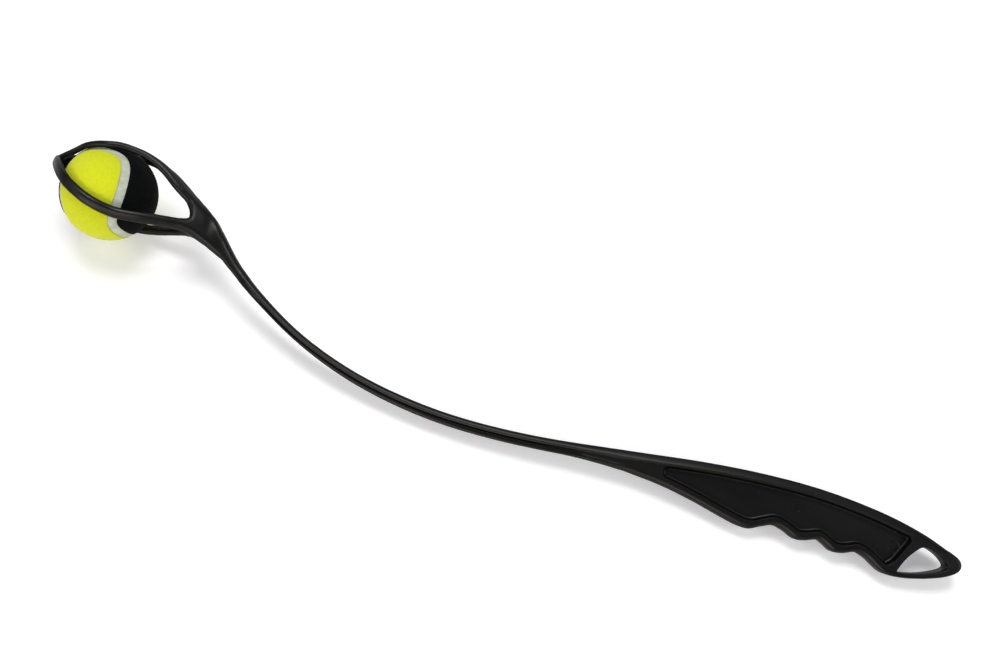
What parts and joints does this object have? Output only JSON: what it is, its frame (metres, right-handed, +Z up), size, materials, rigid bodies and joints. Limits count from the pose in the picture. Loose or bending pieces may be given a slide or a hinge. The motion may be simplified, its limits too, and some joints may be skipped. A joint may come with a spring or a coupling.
{
  "type": "dog ball thrower",
  "caption": "Curved plastic arm with a cage that grips a tennis ball at one end and a finger-grooved handle with a hanging hole at the other.",
  "frame": {"origin": "bottom centre of the bounding box, on the floor that the thrower lies on", "axes": "+Z up, +X from the ball cage to the hanging loop, +Y towards the back of the arm, away from the finger grooves"},
  "size_m": [0.6636, 0.086, 0.0711],
  "materials": {
    "black_plastic": "satin, lightly moulded",
    "yellow_felt": "fuzzy tennis ball felt",
    "black_felt": "fuzzy tennis ball felt",
    "seam_rubber": "matt, slightly fuzzy",
    "core_rubber": "matt"
  },
  "bodies": {
    "thrower": {"cage_tip": "black_plastic", "cage_arm_back_upper": "black_plastic", "cage_arm_back_lower": "black_plastic", "cage_arm_mouth_upper": "black_plastic", "cage_arm_mouth_lower": "black_plastic", "cage_throat": "black_plastic", "shaft": "black_plastic", "handle_spine": "black_plastic", "handle_finger_rim": "black_plastic", "handle_hang_loop": "black_plastic"},
    "ball": {"ball_core_top": "core_rubber", "ball_core_bottom": "core_rubber", "ball_felt_yellow": "yellow_felt", "ball_felt_black": "black_felt", "ball_seam": "seam_rubber"}
  },
  "joints": [
    {"name": "ball_release", "type": "slide", "parent": "thrower", "child": "ball", "axis": [-0.0083, -0.925, -0.3798], "range_m": [0, 0.06], "deforming": ["cage_arm_mouth_upper", "cage_arm_mouth_lower"]}
  ]
}
